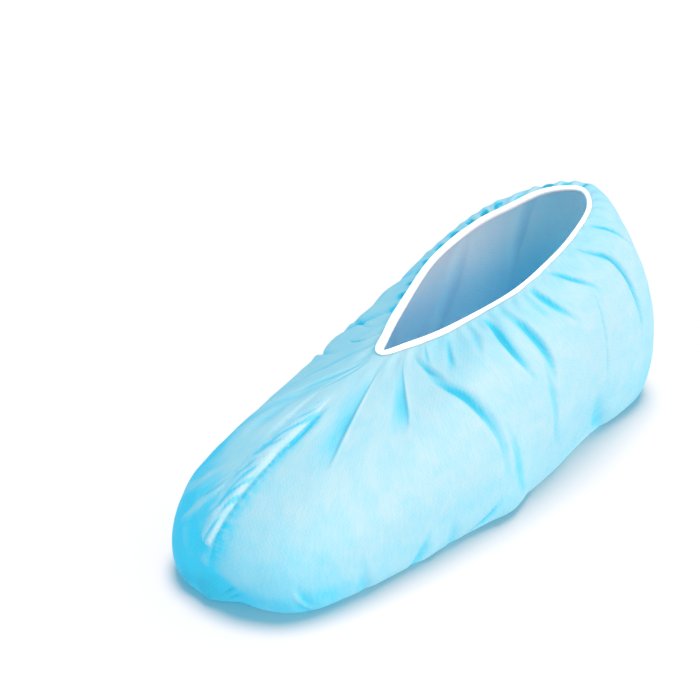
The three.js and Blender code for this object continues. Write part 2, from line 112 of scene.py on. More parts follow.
# Folds, a row each. A fold runs from its start level to its end level. Its stations at its top, middle and
# bottom are negative on the right side. It is deepest at the share in the column "peak". The hollow is how
# wide its side of smaller stations is, which is the one towards the toe on the left, and the face how wide
# its other side is. With a negative depth it is a bulge. The shade is how much shade is painted into its
# colour, and where it is negative how much light is painted into it, and with a flare of 1 it fans out to
# its end.
FOLD_COLUMNS = (
    "top", "middle", "bottom", "start", "end", "peak", "hollow", "face", "depth", "shade", "flare",
)
FOLDS = {
    "vamp_crease": (1.34, 1.30, 1.24, 0.07, 0.52, 0.58, 10.0, 0.9, 1.1, 0.60, 1),
    "vamp_hollow": (2.36, 2.68, 2.66, 0.07, 0.46, 0.58, 8.0, 0.8, 0.9, 0.66, 1),
    "long_pleat_head": (2.92, 3.25, 3.34, 0.05, 0.33, 0.50, 1.0, 1.4, 1.2, 0.65, 0),
    "long_pleat": (3.18, 3.43, 3.53, 0.15, 0.95, 0.46, 1.8, 3.0, 2.5, 0.95, 0),
    "long_tail": (3.54, 3.55, 3.56, 0.68, 1.3, 0.30, 2.0, 2.6, 0.7, 0.30, 0),
    "side_tail": (3.64, 3.71, 3.80, 0.80, 1.6, 0.40, 3.0, 3.0, 0.9, 0.50, 0),
    "ball_nick": (3.26, 3.26, 3.27, 0.03, 0.17, 0.50, 1.2, 1.0, 0.5, 0.40, 1),
    "ball_tuck": (3.66, 3.58, 3.50, 0.03, 0.27, 0.60, 3.0, 1.0, 0.8, 0.55, 1),
    "ball_dimple": (3.92, 3.86, 3.80, 0.05, 0.32, 0.50, 2.2, 1.6, 0.6, 0.30, 0),
    "ball_pleat": (4.08, 4.10, 4.12, 0.02, 0.68, 0.45, 1.8, 2.4, 2.1, 1.05, 0),
    "waist_pleat": (4.28, 4.43, 4.26, 0.06, 0.80, 0.50, 3.6, 1.2, 2.0, 0.85, 0),
    "waist_tail": (4.34, 4.20, 4.40, 0.58, 1.4, 0.35, 2.4, 1.6, 0.9, 0.40, 0),
    "waist_dimple": (4.64, 4.69, 4.71, 0.06, 0.38, 0.50, 2.2, 1.4, 0.6, 0.35, 0),
    "waist_tuck": (4.76, 4.87, 4.94, 0.03, 0.55, 0.42, 3.0, 1.1, 1.3, 0.78, 0),
    "quarter_pleat": (5.07, 5.30, 5.34, 0.03, 0.47, 0.45, 2.0, 1.5, 1.2, 0.78, 0),
    "quarter_tail": (5.32, 5.07, 5.18, 0.38, 1.25, 0.40, 0.8, 0.6, 0.5, 0.35, 0),
    "heel_pleat": (5.69, 5.76, 5.63, 0.03, 0.96, 0.40, 2.2, 1.1, 1.6, 0.82, 0),
    "heel_tuck": (6.12, 6.13, 6.28, 0.03, 0.48, 0.40, 1.0, 0.9, 0.8, 0.78, 0),
    "toe_streak_long": (-0.28, -0.47, -0.68, 0.60, 0.90, 0.45, 2.6, 2.4, -0.8, -0.60, 0),
    "toe_streak_upper": (-0.14, -0.31, -0.44, 0.48, 0.60, 0.50, 1.6, 1.2, 0.7, 0.35, 0),
    "toe_streak_lower": (-0.36, -0.52, -0.64, 0.64, 0.78, 0.50, 2.4, 1.6, 0.8, 0.30, 0),
    "tip_wrinkle": (-0.75, -1.30, -1.47, 0.03, 0.36, 0.50, 1.2, 0.9, 0.8, 0.45, 0),
    "tip_wrinkle_short": (-0.45, -0.80, -0.95, 0.04, 0.26, 0.50, 1.0, 0.8, 0.6, 0.35, 0),
    "right_toe_shade": (-1.45, -1.40, -1.35, 0.45, 0.85, 0.50, 8.0, 8.0, 0.0, 0.40, 0),
    "right_toe_dent": (-1.02, -1.00, -0.98, 0.67, 0.83, 0.50, 5.0, 5.0, 1.0, 0.10, 0),
    "right_toe_swell": (-1.45, -1.40, -1.35, 0.30, 0.68, 0.50, 14.0, 12.0, -2.4, 0.00, 0),
    "right_toe_light": (-0.86, -0.78, -0.72, 0.38, 0.78, 0.50, 7.0, 7.0, 0.0, -0.30, 0),
    "right_toe_crease": (-1.12, -1.05, -1.00, 0.34, 0.52, 0.50, 3.0, 3.0, 1.0, 0.30, 0),
    "right_vamp_crease": (-1.1, -1.4, -1.5, 0.08, 0.75, 0.50, 2.6, 4.0, 1.0, 0.30, 0),
    "right_vamp_pleat": (-2.3, -2.3, -2.35, 0.05, 0.6, 0.45, 3.0, 2.0, 1.0, 0.40, 0),
    "right_rim_line": (-2.96, -3.12, -3.34, 0.04, 0.30, 0.50, 0.8, 0.7, 0.7, 0.85, 0),
    "right_rim_streak": (-3.36, -3.56, -3.70, 0.06, 0.55, 0.60, 3.0, 1.6, 1.0, 0.70, 1),
    "right_long_pleat": (-3.0, -3.25, -3.30, 0.25, 1.0, 0.42, 2.6, 1.6, 1.5, 0.45, 0),
    "right_long_tail": (-3.3, -3.35, -3.40, 0.75, 1.7, 0.35, 2.8, 2.4, 1.2, 0.40, 0),
    "right_ball_pleat": (-3.75, -3.50, -3.36, 0.05, 0.85, 0.42, 3.4, 2.8, 1.7, 0.60, 0),
    "right_waist_pleat": (-4.5, -4.2, -4.05, 0.06, 1.1, 0.40, 4.6, 3.6, 1.8, 0.62, 0),
    "right_quarter_pleat": (-5.38, -4.86, -4.38, 0.40, 1.05, 0.50, 5.0, 4.0, 1.8, 0.66, 0),
    "right_heel_pleat": (-6.42, -5.88, -5.42, 0.06, 0.85, 0.50, 4.4, 3.4, 1.7, 0.70, 0),
    "hem_tuck_toe": (1.22, 1.26, 1.28, 1.1, 2.1, 0.50, 3.0, 4.0, 0.7, 0.25, 0),
    "hem_tuck_side": (2.0, 2.04, 2.08, 1.1, 2.1, 0.55, 4.0, 4.0, 1.2, 0.35, 0),
    "hem_tuck_ball": (2.78, 2.69, 2.63, 1.2, 2.1, 0.60, 3.0, 3.6, 2.0, 0.50, 0),
    "hem_tuck_arch": (3.02, 3.06, 3.10, 1.2, 2.1, 0.55, 3.0, 3.6, 1.0, 0.25, 0),
    "hem_tuck_waist": (3.52, 3.36, 3.18, 1.34, 1.95, 0.55, 1.4, 3.4, 1.9, 0.70, 0),
    "hem_tuck_heel": (4.95, 5.10, 5.25, 1.1, 2.1, 0.55, 4.0, 5.0, 1.6, 0.40, 0),
    "arch_bulge": (3.62, 3.66, 3.70, 0.80, 2.20, 0.55, 18.0, 16.0, -4.0, 0.00, 0),
    "quarter_hollow": (4.80, 4.84, 4.88, 0.80, 2.20, 0.55, 24.0, 26.0, 3.2, 0.00, 0),
    "toe_right_bulge": (-0.52, -0.42, -0.32, 0.85, 2.90, 0.42, 28.0, 14.0, -4.7, 0.00, 0),
    "seam_groove": (0.22, 0.25, 0.22, 0.27, 0.46, 0.45, 2.2, 2.0, 0.9, 0.75, 0),
    "toe_hem_crease_upper": (0.44, 0.31, 0.18, 1.18, 1.48, 0.50, 0.9, 0.7, 0.6, 0.55, 0),
    "toe_hem_crease_lower": (0.48, 0.31, 0.14, 1.34, 1.70, 0.50, 0.9, 0.7, 0.6, 0.55, 0),
    "toe_hem_crease_right": (0.12, -0.05, -0.22, 1.42, 1.76, 0.50, 0.9, 0.7, 0.6, 0.55, 0),
    "toe_seam_end": (-0.20, -0.08, 0.04, 0.89, 1.01, 0.50, 4.5, 4.5, -0.6, -0.65, 0),
    "toe_front_bulge": (0.00, 0.03, 0.06, 0.95, 2.60, 0.45, 8.0, 9.0, -3.5, 0.00, 0),
    "toe_hem_notch": (0.33, 0.33, 0.33, 1.45, 2.20, 0.50, 4.0, 4.5, 1.4, 0.10, 0),
    "toe_hem_ridge": (1.12, 1.24, 1.38, 1.10, 1.75, 0.50, 1.6, 1.6, -0.9, -0.45, 0),
    "right_hem_tuck_ball": (-2.5, -2.5, -2.5, 1.0, 2.1, 0.55, 5.0, 4.0, 2.0, 0.50, 0),
    "right_hem_tuck_arch": (-3.6, -3.6, -3.6, 1.0, 2.1, 0.55, 5.0, 4.0, 2.0, 0.50, 0),
}

# Folds in detail: the crest beside a fold, how the shade painted into a fold fills it, the most shade
# painted in all, the painted shade over which the colour turns to the deepest painted shade, the deepest
# shade painted into the folds themselves, the width at a fold's ends, and the level below which the relief
# moves the cloth sideways only
CREST_HEIGHT = 0.45
CREST_OFFSET = 2.0
CREST_WIDTH = 1.6
FOLD_SHADE_FILL = 3.5
DEEPEST_PAINTED_SHADE = 1.45
DEEPEST_SHADE_RANGE = (1.0, 2.0)
DARK_FOLD_SHADE = 0.42
DARK_FOLD_SHADE_RANGE = (0.4, 1.0)
NARROW_END = 0.35
SIDEWAYS_FROM = 1.2

# Gathers below the tape, deeper on the right side
GATHERS = 46
GATHER_DEPTH = 0.4
GATHER_DEPTH_RIGHT = 0.7
GATHER_RISE = 2
GATHER_REACH = 17
GATHER_DRIFT = 4.0
GATHER_DRIFT_LENGTH = 31
GATHER_BEAT = 0.6
GATHER_BEAT_LENGTH = 23
GATHER_RIGHT_STATIONS = (0.5, 2.5)

# Short tucks beside the tape on the right side, darkened by shade painted into their colour
TUCKS = 32
TUCK_STATIONS = (3.3, 4.1)
TUCK_DEPTH = 0.8
TUCK_RISE = 2
TUCK_FULL = 4
TUCK_REACH = 8
TUCK_SHADE = 1.9
TUCK_TAPER = 0.6
TUCK_EDGE = (-0.4, 0.25)
TUCK_BEAT = (-0.5, -0.1)
TUCK_BEAT_LENGTH = 15

# The slack of the cloth between the folds, which stays clear of the tape
CLEAR_OF_TAPE = 4
SLACK_DEPTH = 1.1
SLACK_LENGTH = 42
CRUMPLE_DEPTH = 0.45
CRUMPLE_LENGTH = 14
FINE_DEPTH = 0.16
FINE_LENGTH = 6

# Shade painted into the colour beside the toe seam, in short stripes where the seam puckers the cloth
PUCKER_PITCH = 3.2
PUCKER_REACH = (4, 8)
PUCKER_LEVELS = (0.4, 0.85)
PUCKER_START = (0.26, 0.34)
PUCKER_SHADE = 0.85
PUCKER_LEAST = 0.35
PUCKER_DRAWN = 0.3

# Shade painted into the colour at the front of the toe, mottled, from a level that is higher to the right
# of the seam and between stations on the two sides, with paler streaks up to the seam where less of it is
# painted
TOE_FRONT_SHADE = 0.75
TOE_FRONT_SHADE_MOTTLE = 0.7
TOE_FRONT_SHADE_MOTTLE_LENGTH = 11
TOE_FRONT_SHADE_LEVEL = 0.95
TOE_FRONT_SHADE_RISE = 0.6
TOE_FRONT_SHADE_RISE_TO = -0.5
TOE_FRONT_SHADE_FADE = (-0.2, 0.12)
TOE_FRONT_SHADE_LEFT = (0.1, 0.65)
TOE_FRONT_SHADE_RIGHT = (1.4, 2.4)
STREAK_SHARE = 0.85
STREAK_SLOPE = 0.5
STREAK_DRAWN = 0.3
STREAK_PITCH = 0.11
STREAK_EDGE = (0, 0.4)
STREAK_END = (0.8, 1.0)

# Shade painted into the colour at the hem, where the cloth turns under the sole, most of all at the toe and
# the heel, and into the cloth beside the tape at the back of the left side
HEM_SHADE = 0.2
HEM_LEVELS = (0.75, 1.5)
TOE_SHADE = 0.24
TOE_LEVELS = (0.65, 0.95)
TOE_HEM_SHADE = 0.2
TOE_HEM_LEVELS = (1.15, 1.45)
TOE_HEM_STATIONS = (1.5, 2.1)
HEEL_SHADE = 0.14
HEEL_STATIONS = (5.3, 6.2)
HEEL_LEVELS = (0.3, 0.9)
RIM_SHADE = 0.15
RIM_REACH = (4, 34)
RIM_STATIONS = (2.8, 3.6)

# Seams: folded strips on the cloth, each at a station, from a level to a level, with its edges beside it.
# The strip has its full width from the level in the column "full".
SEAM_COLUMNS = (
    "station", "start", "end", "full", "left_edge", "right_edge", "left_height", "crown", "right_height",
)
SEAMS = {
    "toe_seam": (0, 0.18, 0.9, 0.42, 2.4, -9, 2.0, 0.2, 0),
    "heel_seam": (7, 0.11, 0.97, 0.3, 3, -3, 0.2, 0.7, 0.2),
}
SEAM_START = 0.4
SEAM_HOLD = 3
SEAM_SEAT = 0.6
SEAM_SINK = 0.05
SEAM_FADE = 0.1
SEAM_TAIL = 0.75
SEAM_TAIL_FROM = 0.8
SEAM_TOP_END = 0.4
SEAM_LOW_END = 0.04

# The tape and the seams in detail
TAPE_WAVE = 0.35
TAPE_WAVE_LENGTH = 9
SEAM_CLOTH = 0.3
SEAM_SWAY = 1.2
SEAM_SWAY_LENGTH = 11
SEAM_RAG = 0.42
SEAM_RAG_LENGTH = 6
SEAM_WRINKLE = 0.9
SEAM_WRINKLE_RISE = 0.3
SEAM_WRINKLE_SHADE = 0.7
SEAM_WRINKLE_EDGE = (0, 0.4)
SEAM_WRINKLE_LENGTH = 14
SEAM_WRINKLE_PITCH = 2.6
SEAM_WRINKLE_SLOPE = 0.33
SEAM_BLEND = 0.62
SEAM_BEND = 0.16
SEAM_RUN_OUT = 0.6

# Light: a blue-tinted studio with broad warm lights, and a floor
AMBIENT_COLOUR = (0.42, 0.81, 0.99)
AMBIENT_STRENGTH = 0.98
TOP_LIGHT = dict(name="top", azimuth=-160, elevation=80, angle=29, strength=3.7, colour=(1, 0.66, 0.54))
KEY_LIGHT = dict(name="key", azimuth=97, elevation=33, angle=52, strength=2.2, colour=(1, 0.58, 0.42))
FLOOR_HALF = 20000
FLOOR_CELLS = 4

# Colours: the cloth, the deeper colour that its web's own tone and its painted shade turn it towards, and
# its deepest painted shade; the seam strip, lit paler as painted light; the inner face, a copy of the
# cloth's colour in painted shade, with painted light near the rim and painted shade in its folds; the tape,
# the floor, and the levels over which light is painted on the inner face near the rim
CLOTH_PALE = (0.61, 0.77, 0.79)
CLOTH_DEEP_TONE_AND_SHADE = (0.07, 0.70, 0.89)
CLOTH_DEEPEST_SHADE = (0.02, 0.40, 0.56)
# The seam strip, lit paler than the cloth: painted light on its raised ridge
SEAM_LIT_PALE = (0.70, 0.83, 0.85)
# Painted light on the inner face near the rim
INSIDE_LIGHT = (0.88, 1.00, 1.00)
# The inner face: a copy of the cloth's colour, bluer and darker as painted shade
INSIDE_SHADED_PALE = (0.50, 0.68, 1.00)
INSIDE_SHADED_DEEP = (0.42, 0.60, 0.98)
# Shade painted into the inner face in the folds
INSIDE_FOLD_SHADE = (0.26, 0.46, 0.80)
INSIDE_FOLD_SHADE_SHARE = 0.6
TAPE_WHITE = (0.93, 0.95, 0.96)
TAPE_GREY = (0.84, 0.88, 0.91)
FLOOR_WHITE = (0.65, 0.66, 0.67)
# The levels down to which light is painted on the inner face near the rim
INSIDE_LIGHT_LEVELS = (0.42, 0.85)

# The web: its bonded points, its fibres, drawn out down the cloth and across the tape, and its clouds
BOND_PITCH = 2.0
TAPE_BOND_PITCH = 1.1
BOND_TURN = 45
BOND_RANDOMNESS = 0.12
BOND_EDGE = (0.2, 0.34)
BOND_PRESSED = -0.8
BOND_SHARE = 0.09
FIBRE_PITCH = 1.6
FIBRE_DRAWN = 0.22
FIBRE_DETAIL = 3.0
FIBRE_ROUGHNESS = 0.6
FIBRE_RAISED = 0.6
FIBRE_RANGE = (0.3, 0.75)
FIBRE_SHARE = 0.15
CLOUD_SCALE = 70.0
CLOUD_DETAIL = 2.0
CLOUD_SHARE = 0.14
NOISE_RANGE = (0.3, 0.7)

# Finishes: roughness between the bonded points and on them, relief, sheen, and the light let through
CLOTH_ROUGHNESS = (0.88, 0.62)
CLOTH_BUMP = 0.2
CLOTH_BUMP_HEIGHT = 0.3
CLOTH_SHEEN = 0.15
CLOTH_SHEEN_ROUGHNESS = 0.5
THROUGH_SHARE = 0.7
THROUGH_LENGTH = 12
THROUGH_TINT = (0.3, 0.72, 1)
TAPE_GREY_SHARE = 0.5
TAPE_ROUGHNESS = (0.8, 0.6)
TAPE_BUMP = 0.3
TAPE_BUMP_HEIGHT = 0.2
FLOOR_ROUGHNESS = 0.95
FLOOR_GLOSS = 0.1

# A number for each noise, so that no two of them are alike
NOISE_SEEDS = {
    "slack": 1, "crumple": 2, "streak": 3, "gather_beat": 4, "tape_wave": 5, "seam_sway": 6,
    "seam_wrinkle": 7, "seam_rag": 8, "gather_drift": 9, "tuck_beat": 11, "fine": 12, "mottle": 13,
}

# Fineness of the meshes. The columns of points go round the cover in spans, each from a turn to a turn.
TAPE_BEND_POINTS = 9
TAPE_LEG_POINTS = 3
SEAM_CELLS_ACROSS = 14
SEAM_CELLS_ALONG = 180
WELD = 0.001
COLUMN_SPANS = ((-1, 1, 140), (1, 6.5, 260), (6.5, 7.5, 30), (7.5, 13, 170))
RIM_STEPS = 1400
WALL_ROWS = 60
TURN_ROWS = 18
SOLE_ROWS = 3
SOLE_REACH = 0.97
ROW_GROWTH = 1.15

# The step that slopes are measured over, the least length, and directions
NEARBY = 0.01
TINY = 1e-9
UP = np.array((0, 0, 1))
ALONG_FLOOR = np.array((1, 1, 0))


def named_rows(columns, table):
    """The rows of a table by name, each with its values by column."""
    return {name: dict(zip(columns, row)) for name, row in table.items()}


def ring_of_sections():
    """The sections all the way round: the left side, then its mirror image back to the toe."""
    left = np.array(list(SECTIONS.values()), float)
    right = left[-2:0:-1].copy()
    for column in MIRRORED_COLUMNS:
        right[:, SECTION_COLUMNS.index(column)] *= -1
    right[:, SECTION_COLUMNS.index("slope")] = right[:, SECTION_COLUMNS.index("right_slope")]
    return np.vstack([left, right])


SECTION_RING = ring_of_sections()
FOLD_ROWS = named_rows(FOLD_COLUMNS, FOLDS)
SEAM_ROWS = named_rows(SEAM_COLUMNS, SEAMS)


def smoothstep(value, low, high):
    share = np.clip((value - low) / (high - low), 0, 1)
    return share * share * (3 - 2 * share)


def mixed(first, second, share):
    return first + (second - first) * share


def unit(vectors):
    return vectors / np.maximum(np.linalg.norm(vectors, axis=-1, keepdims=True), TINY)


def signed_station(turn):
    """A turn as a station: 0 at the toe, positive on the left side, negative on the right."""
    return (turn + LAST_STATION) % RING - LAST_STATION


def section_at(turn):
    """The section at each turn, blended smoothly between the rows of the table."""
    index = np.floor(turn).astype(int)
    part = (turn - index)[..., None]
    a, b, c, d = (SECTION_RING[(index + step) % RING] for step in (-1, 0, 1, 2))
    bend = (2 * a - 5 * b + 4 * c - d) * part**2 + (3 * b - a - 3 * c + d) * part**3
    values = 0.5 * (2 * b + (c - a) * part + bend)
    return dict(zip(SECTION_COLUMNS, np.moveaxis(values, -1, 0)))


def bezier(a, b, c, d, share):
    rest = 1 - share
    return rest**3 * a + 3 * rest**2 * share * b + 3 * rest * share**2 * c + share**3 * d


def smooth_wall(turn, level):
    """Points of the outer face without its folds."""
    above_bulge = np.clip(BULGE - level, 0, None)
    drawn = turn - section_at(turn)["draw"] * above_bulge**DRAW_BEND
    section = section_at(drawn)
    nothing = np.zeros_like(drawn)
    rim = np.stack([section["rim_x"], section["rim_y"], section["rim_z"]], -1)
    bulge = np.stack([section["bulge_x"], section["bulge_y"], section["bulge_z"]], -1)
    sole = np.stack([section["sole_x"], section["sole_y"], nothing], -1)
    middle = np.stack([nothing, section["sole_y"] * SOLE_LINE, nothing], -1)
    slope = np.radians(section["slope"])[..., None]
    leave = unit((bulge - rim) * ALONG_FLOOR) * np.cos(slope) - np.sin(slope) * UP
    below_rim = rim + leave * section["rim_pull"][..., None]
    over_bulge = bulge + section["bulge_pull"][..., None] * UP
    below_bulge = bulge * (ALONG_FLOOR + (1 - SOLE_ROUNDING) * UP)
    beside_sole = mixed(sole, bulge * ALONG_FLOOR, SOLE_ROUNDING)
    depth = level[..., None]
    upper = bezier(rim, below_rim, over_bulge, bulge, np.clip(depth, 0, BULGE))
    lower = bezier(bulge, below_bulge, beside_sole, sole, np.clip(depth - BULGE, 0, 1))
    under = mixed(sole, middle, np.clip(depth - SOLE_EDGE, 0, 1))
    points = np.where(depth <= BULGE, upper, np.where(depth <= SOLE_EDGE, lower, under))
    share = np.clip((LEAN_FROM - points[..., 1]) / (LEAN_FROM - LEAN_TO), 0, 1)
    points[..., 0] += TOE_LEAN * share**2
    return points


def across_and_down(turn, level):
    """The steps of the smooth wall to the next station and to the next level."""
    above = np.clip(level - NEARBY, 0, None)
    below = np.clip(level + NEARBY, None, SOLE_MIDDLE)
    around = smooth_wall(turn + NEARBY, level) - smooth_wall(turn - NEARBY, level)
    down = smooth_wall(turn, below) - smooth_wall(turn, above)
    return around / (2 * NEARBY), down / (below - above)[..., None]


def outward_of(turn, level):
    around, down = across_and_down(turn, level)
    return unit(np.cross(down, around))


def station_length(turn, level):
    """How long a step to the next station is."""
    return np.linalg.norm(across_and_down(turn, level)[0], axis=-1)


def rim_at(turn):
    return smooth_wall(turn, np.zeros_like(turn))


def rim_direction(turn):
    return unit(rim_at(turn + NEARBY) - rim_at(turn - NEARBY))


def below_rim_length(turn, level):
    """How far below the edge of the opening each place lies."""
    drop = smooth_wall(turn, level) - rim_at(turn)
    return np.linalg.norm(np.cross(drop, rim_direction(turn)), axis=-1)


def noise_at(points, length, name):
    """Soft noise of a given wave length at each point."""
    seed = NOISE_SEEDS[name]
    shift = Vector((seed, 2 * seed, 3 * seed))
    flat = points.reshape(-1, 3) / length
    values = [noise.noise(Vector(point) + shift) for point in flat]
    return np.array(values).reshape(points.shape[:-1])


def lengths_along(points):
    """The length from the first point to each point of a line of points."""
    steps = np.linalg.norm(np.diff(points, axis=0), axis=-1)
    return np.concatenate([np.zeros((1, *steps.shape[1:])), np.cumsum(steps, axis=0)])


RIM_TURNS = np.linspace(0, RING, RIM_STEPS + 1)
RIM_POINTS = rim_at(RIM_TURNS)
RIM_LENGTHS = lengths_along(RIM_POINTS)


def tape_leg(turn):
    """How far the tape's legs reach below the edge of the opening."""
    rim_y = np.interp(turn % RING, RIM_TURNS, RIM_POINTS[:, 1])
    return mixed(TAPE_WIDTH_AT_TOE, TAPE_WIDTH, smoothstep(rim_y, TAPE_WIDE_TO, TAPE_NARROW_FROM))


# Relief of the cloth, and the marks of shade and light painted into its colour


def fold_station(fold, along):
    """The station of a fold at a share of its length, on a curve through its top, middle and bottom."""
    top = fold["top"] * (1 - along) * (1 - 2 * along)
    bottom = fold["bottom"] * along * (2 * along - 1)
    return top + fold["middle"] * 4 * along * (1 - along) + bottom


def leaf_shape(along, peak):
    """0 at both ends of a fold and 1 where it is deepest."""
    return np.clip(np.sin(math.pi * along ** (math.log(0.5) / math.log(peak))), 0, 1)


def fold_relief(turn, level, length):
    """How far the folds move the cloth out, and the shade painted into the colour in each fold, which is
    painted light where it is negative.
    """
    offset = np.zeros_like(turn)
    painted_shade = np.zeros_like(turn)
    for fold in FOLD_ROWS.values():
        along = np.clip((level - fold["start"]) / (fold["end"] - fold["start"]), 0, 1)
        leaf = leaf_shape(along, fold["peak"])
        spread = mixed(NARROW_END, 1, mixed(leaf, along, fold["flare"]))
        side = signed_station(turn - fold_station(fold, along)) * length / spread
        across = side / np.where(side < 0, fold["hollow"], fold["face"])
        valley = np.exp(-(across**2))
        crest = CREST_HEIGHT * np.exp(-(((across - CREST_OFFSET) / CREST_WIDTH) ** 2))
        offset += fold["depth"] * leaf * (np.where(across > 0, crest, 0) * (1 - valley) - valley)
        # Shade painted into the colour in the fold; a negative shade paints light instead
        painted_shade += fold["shade"] * leaf * np.exp(-(np.abs(across) ** FOLD_SHADE_FILL))
    return offset, painted_shade


def gather_relief(turn, below_tape, wall):
    """The gathers that the binding draws into the cloth, and the short tucks beside the tape, with shade
    painted into the tucks.
    """
    right = -signed_station(turn)
    place = 2 * math.pi * np.interp(turn % RING, RIM_TURNS, RIM_LENGTHS) / RIM_LENGTHS[-1]
    drift = GATHER_DRIFT * noise_at(wall, GATHER_DRIFT_LENGTH, "gather_drift")
    beat = 1 + GATHER_BEAT * noise_at(wall, GATHER_BEAT_LENGTH, "gather_beat")
    near = smoothstep(below_tape, 0, GATHER_RISE) * (1 - smoothstep(below_tape, 0, GATHER_REACH))
    depth = mixed(GATHER_DEPTH, GATHER_DEPTH_RIGHT, smoothstep(right, *GATHER_RIGHT_STATIONS))
    gathers = depth * beat * np.cos(GATHERS * place + drift) * near
    narrowed = TUCK_TAPER * np.clip(below_tape / TUCK_REACH, 0, 1)
    dash = smoothstep(np.cos(TUCKS * place + drift) - narrowed, *TUCK_EDGE)
    dash *= smoothstep(noise_at(wall, TUCK_BEAT_LENGTH, "tuck_beat"), *TUCK_BEAT)
    beside = smoothstep(below_tape, 0, TUCK_RISE) * (1 - smoothstep(below_tape, TUCK_FULL, TUCK_REACH))
    tucks = smoothstep(right, *TUCK_STATIONS) * dash * beside
    # The tucks sink the cloth, and shade is painted into their colour
    return gathers - TUCK_DEPTH * tucks, TUCK_SHADE * tucks


def slack_relief(wall):
    slack = SLACK_DEPTH * noise_at(wall, SLACK_LENGTH, "slack")
    crumples = CRUMPLE_DEPTH * noise_at(wall, CRUMPLE_LENGTH, "crumple")
    return slack + crumples + FINE_DEPTH * noise_at(wall, FINE_LENGTH, "fine")


def before_end(seam, level):
    """1 along a seam, fading to 0 past its lower end."""
    return 1 - smoothstep(level, seam["end"], seam["end"] + SEAM_FADE)


def under_seam(seam, turn, level, length):
    """1 under a seam, fading to 0 beside it and past its ends."""
    side = signed_station(turn - seam["station"]) * length
    outside = np.maximum(side - seam["left_edge"], seam["right_edge"] - side)
    span = smoothstep(level, seam["start"], seam["full"]) * before_end(seam, level)
    return span * (1 - smoothstep(outside, 0, SEAM_HOLD))


def seam_pucker_shade(turn, level, length):
    """How much pucker shade is painted beside the toe seam, on its left."""
    seam = SEAM_ROWS["toe_seam"]
    side = signed_station(turn - seam["station"]) * length - seam["left_edge"]
    reach = np.interp(level, PUCKER_LEVELS, PUCKER_REACH)
    span = smoothstep(level, *PUCKER_START) * before_end(seam, level)
    return span * np.where(side > 0, np.exp(-((side / reach) ** 2)), 0)


def toe_front_shade(turn, level, wall):
    """How much shade is painted into the colour at the front of the toe."""
    station = signed_station(turn)
    from_level = TOE_FRONT_SHADE_LEVEL + TOE_FRONT_SHADE_RISE * np.clip(station, TOE_FRONT_SHADE_RISE_TO, None)
    below = smoothstep(level - from_level, *TOE_FRONT_SHADE_FADE)
    beside = (1 - smoothstep(station, *TOE_FRONT_SHADE_LEFT)) * (1 - smoothstep(-station, *TOE_FRONT_SHADE_RIGHT))
    place = np.stack([STREAK_DRAWN * station, level + STREAK_SLOPE * station, np.zeros_like(level)], -1)
    streak = smoothstep(noise_at(place, STREAK_PITCH, "streak"), *STREAK_EDGE)
    streak *= 1 - smoothstep(level, *STREAK_END)
    mottle = 1 + TOE_FRONT_SHADE_MOTTLE * noise_at(wall, TOE_FRONT_SHADE_MOTTLE_LENGTH, "mottle")
    return TOE_FRONT_SHADE * mottle * below * beside * (1 - STREAK_SHARE * streak)


def hem_shade(turn, level):
    """How much shade is painted into the colour at the hem, most of all round the toe and the heel."""
    station = np.abs(signed_station(turn))
    at_toe = 1 - smoothstep(station, *TOE_HEM_STATIONS)
    at_heel = smoothstep(station, *HEEL_STATIONS)
    toe = TOE_SHADE * smoothstep(level, *TOE_LEVELS) + TOE_HEM_SHADE * smoothstep(level, *TOE_HEM_LEVELS)
    heel = HEEL_SHADE * smoothstep(level, *HEEL_LEVELS)
    return HEM_SHADE * smoothstep(level, *HEM_LEVELS) + toe * at_toe + heel * at_heel


def rim_shade(turn, below_tape):
    """How much shade is painted into the colour beside the tape."""
    near = 1 - smoothstep(below_tape, *RIM_REACH)
    return RIM_SHADE * near * smoothstep(signed_station(turn), *RIM_STATIONS)


def cloth_relief(turn, level):
    """The relief of the cloth over the smooth wall, with the marks of shade and light painted into its
    colour.
    """
    length = station_length(turn, level)
    below_tape = below_rim_length(turn, level) - tape_leg(turn)
    wall = smooth_wall(turn, level)
    covered = [under_seam(seam, turn, level, length) for seam in SEAM_ROWS.values()]
    clear = smoothstep(below_tape, 0, CLEAR_OF_TAPE)
    free = clear * np.prod([1 - share for share in covered], axis=0)
    folds, fold_shade = fold_relief(turn, level, length)
    gathers, tuck_shade = gather_relief(turn, below_tape, wall)
    relief = (folds + slack_relief(wall) * clear) * free + gathers - SEAM_SEAT * sum(covered)
    # Shade painted into the colour at the front of the toe, at the hem and beside the tape
    painted_zone_shade = toe_front_shade(turn, level, wall) + hem_shade(turn, level) + rim_shade(turn, below_tape)
    # All painted shade: from the folds, from these places and from the tucks
    painted_shade = np.clip(fold_shade * free + painted_zone_shade, 0, DEEPEST_PAINTED_SHADE) + tuck_shade
    # Where the deepest shade is painted: where the most shade is painted, and in the darkest folds
    dark = DARK_FOLD_SHADE * smoothstep(fold_shade * free, *DARK_FOLD_SHADE_RANGE)
    deepest_shade = np.clip(smoothstep(painted_shade, *DEEPEST_SHADE_RANGE) + dark, 0, 1)
    return relief, {"painted_shade": painted_shade, "pucker_shade": seam_pucker_shade(turn, level, length), "deepest_shade": deepest_shade}


def cloth_points(turn, level):
    """Points of the cloth's outer face, with the marks of shade and light painted into its colour."""
    outward = outward_of(turn, level)
    outward[..., 2] *= 1 - smoothstep(level, SIDEWAYS_FROM, SOLE_EDGE)
    relief, marks = cloth_relief(turn, level)
    relief = np.where(level > SOLE_EDGE, 0, relief)
    return smooth_wall(turn, level) + outward * relief[..., None], marks


